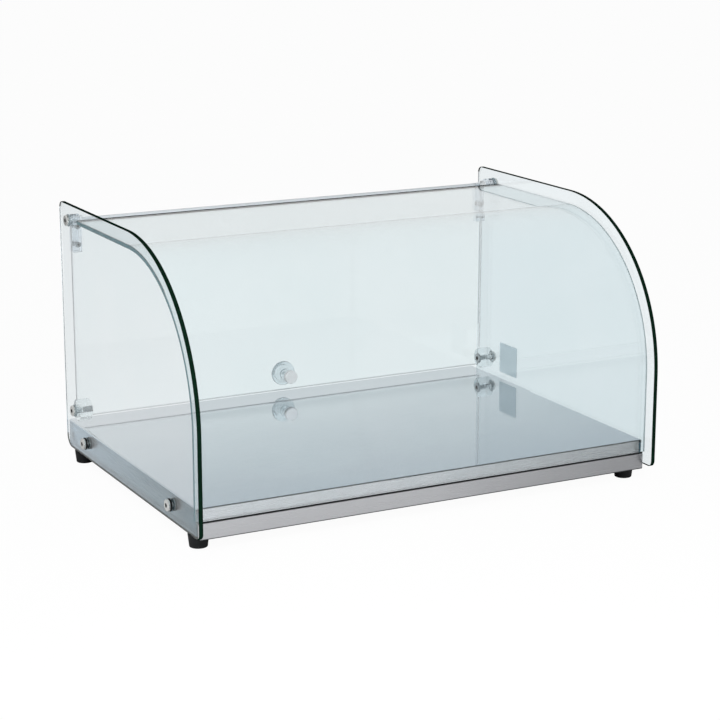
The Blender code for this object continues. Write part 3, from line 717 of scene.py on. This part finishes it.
# %% Deck, rail, fascia and strip
low, high = reach("top_plate")
wall, bend, lip, burr = 1.2 * MM, 2 * MM, 4 * MM, 0.12 * MM
deck_outline = rounded([
    (low[0], high[2] - lip, 0), (low[0] + wall, high[2] - lip, 0),
    (low[0] + wall, high[2] - wall, bend - wall), (high[0] - wall, high[2] - wall, bend - wall),
    (high[0] - wall, high[2] - lip, 0), (high[0], high[2] - lip, 0),
    (high[0], high[2], bend), (low[0], high[2], bend)], step=0.4 * MM)
folded = middles(deck_outline)[:, 1] < high[2] - bend * 0.6
deck = slab("sheet_deck", deck_outline, "Y", low[1], high[1],
            [deck_steel, cut_steel, panel_steel], arris=burr, cap=1,
            run=np.where(folded, 2, 0))
stand_in(deck, "deck_steel", "top_plate")

low, high = reach("front_rail")
rail_outline = rounded([
    (low[1], low[2], wall), (high[1], low[2], 0), (high[1], low[2] + wall, 0),
    (low[1] + wall, low[2] + wall, 0), (low[1] + wall, high[2] - wall, 0),
    (high[1], high[2] - wall, 0), (high[1], high[2], 0), (low[1], high[2], wall)],
    step=0.3 * MM)
rail = slab("sheet_rail", rail_outline, "X", low[0], high[0], [rail_steel, cut_steel],
            arris=burr, cap=1)
stand_in(rail, "brushed_sheet", "front_rail")

low, high = reach("front_fascia")
fascia = slab("sheet_fascia", oblong(low[0], low[2], high[0], high[2]), "Y", low[1], high[1],
              [fascia_steel, cut_steel], arris=0.15 * MM, run=1)
stand_in(fascia, "brushed_sheet", "front_fascia")

low, high = reach("front_seat_strip")
strip_outline = oblong(low[1], low[2], high[1], high[2], 0.3 * MM, 0.1 * MM)
strip = slab("strip_under_glass", strip_outline, "X", low[0], high[0], [rubber])
stand_in(strip, "black_rubber", "front_seat_strip")


# %% [markdown]
# ## Sides, back and bottom of the base
# These sheets have the right shape in the solids, with the welded nuts on the inside. They are
# softened a little, so that their edges catch the light.

# %% Sides, back and bottom of the base
for node, name, look in (("side_panel_left", "sheet_side_left", panel_steel),
                         ("side_panel_right", "sheet_side_right", panel_steel),
                         ("rear_panel", "sheet_rear", rail_steel),
                         ("bottom_cover", "sheet_bottom", rail_steel)):
    stand_in(softened(name, node, 0.1 * MM, look), "brushed_sheet", node)


# %% [markdown]
# ## Bolts, washers and nuts
# Eight cap bolts go through the side glasses. A bolt starts as a headed blank; its socket is
# punched, a six-sided hole, and the inside of the socket is painted dark as shade. A rubber
# washer keeps the steel off the glass. A profile runs from the tip over the head and down into
# the socket, and the rows of the mesh up to the seat of the head get the satin finish.

# %% Bolts, washers and spacers
head, high_head, shaft = 6.3 * MM, 2.8 * MM, 3 * MM
socket, mouth = 2.3 * MM, 2.3 * MM * 1.12
washer_radius = 7 * MM
washer_looks = {"base_washer_front_": rubber, "base_washer_rear_": rubber,
                "pivot_washer_": washer_pale, "stop_washer_": washer_pale,
                "base_spacer_front_": washer_grey, "base_spacer_rear_": washer_grey}
for word, side in SIDES.items():
    for kind in BOLTS:
        node = kind + word
        tip, crown, centre = across(node)
        seat = crown - high_head
        shank = eased([(tip, 0, 0), (tip, shaft, 0.4 * MM), (seat, shaft, 0),
                       (seat, head, 0.2 * MM), (crown, head, 1.2 * MM), (crown, mouth, 0)])
        well = [(mouth, crown - 0.1 * MM, 1), (socket, crown - 0.25 * MM, 1),
                (socket, crown - 1.5 * MM, 1), (0, crown - 1.9 * MM, 0)]
        inside = sum(along < seat + NEAR for _, along in shank)
        shown = [2] * inside + [0] * (len(shank) - inside) + [1] * (len(well) - 1)
        bolt = turned("cap_" + node, shank + well, "X", centre,
                      [plated, socket_painted_shade, pale_plated], side, row_looks=shown)
        stand_in(bolt, "plated_steel", node)
    for kind, look in washer_looks.items():
        node = kind + word
        inner, outer, centre = across(node)
        loop = eased([(inner, HOLE, 0.2 * MM), (outer, HOLE, 0.2 * MM),
                      (outer, washer_radius, 0.5 * MM), (inner, washer_radius, 0.5 * MM)],
                     closed=True, step=0.2 * MM)
        washer = turned("ring_" + node, loop, "X", centre, [look], side, tube=True)
        stand_in(washer, "black_rubber", node)
    nut = softened("hex_pivot_nut_" + word, "pivot_nut_" + word, 0.25 * MM, pale_plated)
    stand_in(nut, "plated_steel", "pivot_nut_" + word)


# %% [markdown]
# ## The door stops
# A stop is a short bar of clear acrylic, faced and drilled on a lathe. A bolt holds it to the
# glass from outside, and a cap screw closes its free end; its shank shows through the plastic.

# %% Stops and their screws
bar, bore = 12.5 * MM, 3.4 * MM
screw_head, screw_high, screw_shaft = 6.2 * MM, 2.4 * MM, 3.1 * MM
screw_mouth, screw_socket = 3 * MM, 2.7 * MM
for word, side in SIDES.items():
    node = "door_stop_" + word
    inner, outer, centre = across(node)
    shoulder = across("stop_bolt_" + word)[0] - 0.3 * MM
    loop = eased([(inner, bore, 0), (shoulder, bore, 0), (shoulder, HOLE, 0), (outer, HOLE, 0),
                  (outer, bar, 0.5 * MM), (inner, bar, 1.0 * MM)], closed=True, step=0.3 * MM)
    stop = turned("bar_" + node, loop, "X", centre, [clear], side, count=96, tube=True)
    stand_in(stop, "clear_plastic", node)
    node = "stop_screw_" + word
    front, tip, _ = across(node)
    seat = front + screw_high
    shank = eased([(tip, 0, 0), (tip, screw_shaft, 0.4 * MM), (seat, screw_shaft, 0),
                   (seat, screw_head, 0.2 * MM), (front, screw_head, 1.1 * MM),
                   (front, screw_mouth, 0)])
    well = [(screw_mouth, front + 0.1 * MM, 1), (screw_socket, front + 0.3 * MM, 1),
            (screw_socket, front + 1.6 * MM, 1), (0, front + 1.9 * MM, 0)]
    shown = [0] * len(shank) + [1] * (len(well) - 1)
    screw = turned("cap_" + node, shank + well, "X", centre, [dull_plated, socket_painted_shade], side,
                   row_looks=shown)
    stand_in(screw, "plated_steel", node)


# %% [markdown]
# ## The feet
# Each foot is a tapered rubber plug, pressed in a mould, with its screw sunk from below. The
# screws are hardly seen, so their solids stay and only get the plated finish.

# %% Feet
def refinish(look, *nodes):
    """The solids keep their shape and get a finish."""
    for node in nodes:
        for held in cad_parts[node].material_slots:
            held.material = look
    print(look.name, "on", len(nodes), "solid(s)")


ground_radius, top_radius = 9.6 * MM, 11.2 * MM
sink, sink_depth, through = 4.8 * MM, 7 * MM, 2.3 * MM
for node in ("foot_front_left", "foot_front_right", "foot_rear_left", "foot_rear_right"):
    top = reach(node)[1][2]
    centre = np.array([*middle(node)[:2], 0])
    loop = eased([(0, sink, 0.4 * MM), (0, ground_radius, 0.9 * MM), (top, top_radius, 0.6 * MM),
                  (top, through, 0.3 * MM), (sink_depth, through, 0), (sink_depth, sink, 0)],
                 closed=True, step=0.3 * MM)
    foot = turned("rubber_" + node, loop, "Z", centre, [rubber], tube=True)
    stand_in(foot, "black_rubber", node)
    refinish(plated, node.replace("foot", "foot_screw"))


# %% [markdown]
# ## The film
# A square of pale film is stuck inside the right pane. It is left blank.

# %% Film
low, high = reach("blank_film")
film_outline = oblong(low[1], low[2], high[1], high[2], 0.6 * MM, 0.2 * MM)
blank = slab("film_blank", film_outline, "X", low[0], high[0], [film], arris=0.05 * MM)
stand_in(blank, "film", "blank_film")


# %% [markdown]
# ## The rear flap
# A plain rectangle of 5 mm glass, drilled for the hinges and the knob. Its edges are ground and
# left matt, so they look pale and milky where the others look dark. The upper one is grey and
# goes with the matt strip under it.

# %% Door glass
low, high = reach("rear_door_glass")
screw_places = [middle(f"hinge_screw_{level}_{word}")[[0, 2]]
                for level in ("upper", "lower") for word in SIDES]
knob_place = middle("door_knob")
flap_outline = oblong(low[0], low[2], high[0], high[2], 1 * MM, 0.4 * MM)
upper = middles(flap_outline)[:, 1] > high[2] - NEAR
holes = [ring(x, z, 2.3 * MM) for x, z in [*screw_places, knob_place[[0, 2]]]]
flap = slab("pane_rear_flap", flap_outline, "Y", low[1], high[1],
            [door_glass, matt_edge, flap_top_edge], arris=1.0 * MM, holes=holes,
            run=np.where(upper, 2, 1), wall=1)
stand_in(flap, "door_glass", "rear_door_glass", body="rear_door")


# %% [markdown]
# ## Hinges
# Each hinge is one moulded piece of clear plastic: a barrel on the pivot bolt, an arm, and a
# leaf that lies on the flap, with a thin plate behind it. Two screws clamp the glass between.

# %% Hinges, backing plates and screws
cap, cap_high, shaft, socket = 3.3 * MM, 2.2 * MM, 2 * MM, 1.3 * MM
for word in SIDES:
    for node, width in (("hinge_" + word, 0.5 * MM), ("hinge_backing_" + word, 0.4 * MM)):
        stand_in(softened("moulded_" + node, node, width, hinge_clear), "clear_plastic", node,
                 body="rear_door")
    for level in ("upper", "lower"):
        node = f"hinge_screw_{level}_{word}"
        front, tip = (corner[1] for corner in reach(node))
        seat = front + cap_high
        centre = middle(node) * (1, 0, 1)
        shank = eased([(tip, 0, 0), (tip, shaft, 0.3 * MM), (seat, shaft, 0),
                       (seat, cap, 0.1 * MM), (front, cap, 0.9 * MM), (front, 1.5 * MM, 0)])
        well = [(1.4 * MM, front + 0.1 * MM, 1), (socket, front + 1.1 * MM, 1),
                (0, front + 1.3 * MM, 0)]
        shown = [0] * len(shank) + [1] * (len(well) - 1)
        screw = turned("cap_" + node, shank + well, "Y", centre, [dull_plated, socket_painted_shade],
                       row_looks=shown)
        stand_in(screw, "plated_steel", node, body="rear_door")


# %% [markdown]
# ## The knob
# Behind the flap is a knob turned from clear acrylic: a neck that flares to a flat rim with a
# shallow crown. Inside sits a small blasted button, and one screw draws the two together.

# %% Knob, button, screw and washer
centre = knob_place * (1, 0, 1)
bore, neck, rim, crown = 2.3 * MM, 6.5 * MM, 15 * MM, 9 * MM
foot, end = (corner[1] for corner in reach("door_knob"))
bore_end, rim_start, rim_end = foot + 9 * MM, foot + 13 * MM, foot + 16 * MM
profile = eased([(bore_end, 0, 0), (bore_end, bore, 0), (foot, bore, 0), (foot, neck, 0.3 * MM),
                 (rim_start, neck, neck), (rim_start, rim, 0.8 * MM), (rim_end, rim, 0.8 * MM),
                 (end, crown, 1 * MM), (end, 0, 0)])
knob = turned("turned_door_knob", profile, "Y", centre, [knob_clear], count=96)
stand_in(knob, "clear_plastic", "door_knob", body="rear_door")

front, back = (corner[1] for corner in reach("knob_button"))
face, floor = 8 * MM, front + 2.2 * MM
profile = eased([(front, 0, 0), (front, face, 0.8 * MM), (back, face, 0.2 * MM),
                 (back, bore, 0), (floor, bore, 0), (floor, 0, 0)])
button = turned("blasted_knob_button", profile, "Y", centre, [frosted], count=72)
stand_in(button, "frosted_plastic", "knob_button", body="rear_door")

front, back = (corner[1] for corner in reach("knob_washer"))
profile = eased([(front, bore, 0.1 * MM), (back, bore, 0.1 * MM), (back, neck, 0.2 * MM),
                 (front, neck, 0.2 * MM)], closed=True, step=0.1 * MM)
washer = turned("ring_knob_washer", profile, "Y", centre, [clear], tube=True)
stand_in(washer, "clear_plastic", "knob_washer", body="rear_door")
refinish(plated, "knob_screw")


# %% [markdown]
# ## The studio
# The case stands on white paper. To the camera 96 percent of it is plain white and the rest lit
# paper, so a trace of the case's soft shadow stays. Two sheets meet at the front of the case.
# In mirrors and through glass the front one is lit paper: the lamp stands to the left, so this
# floor falls off to the right, and the brushed front shows it. The back one is plain white
# through the glass too, as in the photograph.

# %% Paper
WIDE, NEAR_END, SEAM, FAR_END = 12.0, -6.0, -0.2, 16.0
WHITE_SHARE, GRID = 0.96, 9


def paper(name, x_reach, y_start, y_end, look):
    """A flat sheet at floor height: points on a grid of x and y at z = 0."""
    x, y = np.meshgrid(np.linspace(-x_reach, x_reach, GRID), np.linspace(y_start, y_end, GRID))
    points = np.stack([x.ravel(), y.ravel(), np.zeros(x.size)], 1)
    k = np.arange(GRID * GRID).reshape(GRID, GRID)
    faces = np.stack([k[:-1, :-1], k[:-1, 1:], k[1:, 1:], k[1:, :-1]], -1).reshape(-1, 4)
    mesh = bpy.data.meshes.new(name)
    mesh.from_pydata(points.tolist(), [], faces.tolist())
    mesh.materials.append(look)
    sheet = bpy.data.objects.new(name, mesh)
    bpy.context.scene.collection.objects.link(sheet)
    sheet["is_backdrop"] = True


def rays(tree, *kinds):
    """1 for rays of the named kinds and 0 for all others: the largest of their outputs."""
    path = add_node(tree, "ShaderNodeLightPath")
    seen = path.outputs[kinds[0]]
    for kind in kinds[1:]:
        seen = combined(tree, "MAXIMUM", seen, path.outputs[kind])
    return seen


def paper_look(name, *seen_by):
    """White paper: mostly plain white to the camera and the named rays, lit paper to others."""
    look = bpy.data.materials.new(name)
    look.use_nodes = True
    tree = look.node_tree
    tree.nodes.clear()
    fibres = grain(tree, (2 * MM, 2 * MM, 2 * MM), 3.0)
    lit = add_node(tree, "ShaderNodeBsdfDiffuse",
                   {"Color": blend_colours(tree, fibres, "#F1F1F1", "#F4F4F4")})
    white = add_node(tree, "ShaderNodeEmission", {"Color": (1, 1, 1, 1), "Strength": 1.0})
    share = combined(tree, "MULTIPLY", rays(tree, "Is Camera Ray", *seen_by), WHITE_SHARE)
    mixed = add_node(tree, "ShaderNodeMixShader",
                     {0: share, 1: lit.outputs[0], 2: white.outputs[0]})
    add_node(tree, "ShaderNodeOutputMaterial", {"Surface": mixed.outputs[0]})
    return look


paper("paper_front", WIDE, NEAR_END, SEAM, paper_look("white paper, front"))
paper("paper_back", WIDE, SEAM, FAR_END, paper_look("white paper, back", "Is Transmission Ray"))
print("paper: two sheets that meet at y =", SEAM)


# %% [markdown]
# ## The room, the lamp and the camera
# The room is white to the camera, in mirrors and through glass, and about half as bright to the
# rays that light things, so that the lamp can shape them. Above the horizon it gets a fifth
# darker, as a ceiling does, and the deck and the glass show that. The lamp is large and soft.
# It is kept out of mirrors and of rays through glass, where its square would show as a patch.
# The camera looks down on the case from the front left, from a counter's distance.

# %% World, lamp and camera
ROOM_LEVEL, CEILING_LEVEL, CEILING_START = 0.48, 0.79, 0.2
world = bpy.data.worlds.new("white room")
bpy.context.scene.world = world
world.use_nodes = True
room = world.node_tree
room.nodes.clear()
level = combined(room, "MULTIPLY_ADD",
                 rays(room, "Is Camera Ray", "Is Glossy Ray", "Is Transmission Ray"),
                 1 - ROOM_LEVEL, ROOM_LEVEL)
up = add_node(room, "ShaderNodeSeparateXYZ",
              {0: add_node(room, "ShaderNodeTexCoord").outputs["Generated"]}).outputs["Z"]
ceiling = add_node(room, "ShaderNodeMapRange",
                   {"Value": up, "From Min": 0.0, "From Max": CEILING_START, "To Min": 1.0,
                    "To Max": CEILING_LEVEL}).outputs[0]
sky = add_node(room, "ShaderNodeBackground",
               {"Color": (1, 1, 1, 1), "Strength": combined(room, "MULTIPLY", level, ceiling)})
add_node(room, "ShaderNodeOutputWorld", {"Surface": sky.outputs[0]})


def soft_lamp(name, place, target, size, watts):
    """A square area lamp at a place, turned so that its face looks at the target."""
    data = bpy.data.lights.new(name, "AREA")
    data.shape, data.size, data.energy = "SQUARE", size, watts
    lamp = bpy.data.objects.new(name, data)
    lamp.location = place
    lamp.rotation_euler = (Vector(target) - Vector(place)).to_track_quat("-Z", "Y").to_euler()
    bpy.context.scene.collection.objects.link(lamp)
    return lamp


key = soft_lamp("key lamp", place=(-0.6, -1.3, 0.95), target=(0.0, -0.45, 0.0), size=0.7,
                watts=24)
key.visible_glossy = False
key.visible_transmission = False

LENS, SENSOR = 103.92, 36.0
LOOK_DOWN, LOOK_RIGHT = math.radians(14.159), math.radians(27.404)
camera_data = bpy.data.cameras.new("camera")
camera_data.lens, camera_data.sensor_width = LENS, SENSOR
camera = bpy.data.objects.new("camera", camera_data)
camera.location = (-1.0437, -2.0268, 0.7058)
camera.rotation_euler = (math.pi / 2 - LOOK_DOWN, 0, -LOOK_RIGHT)
bpy.context.scene.collection.objects.link(camera)
bpy.context.scene.camera = camera
bpy.context.scene.view_settings.view_transform = "Standard"
print("camera at", tuple(round(c, 3) for c in camera.location))


# %% [markdown]
# ## The size of the dressed case
# Dressing must not change the size. The box of the dressed case is printed in millimetres.

low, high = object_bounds()
print("visual size in mm:", [round((b - a) / MM, 1) for a, b in zip(low, high)])
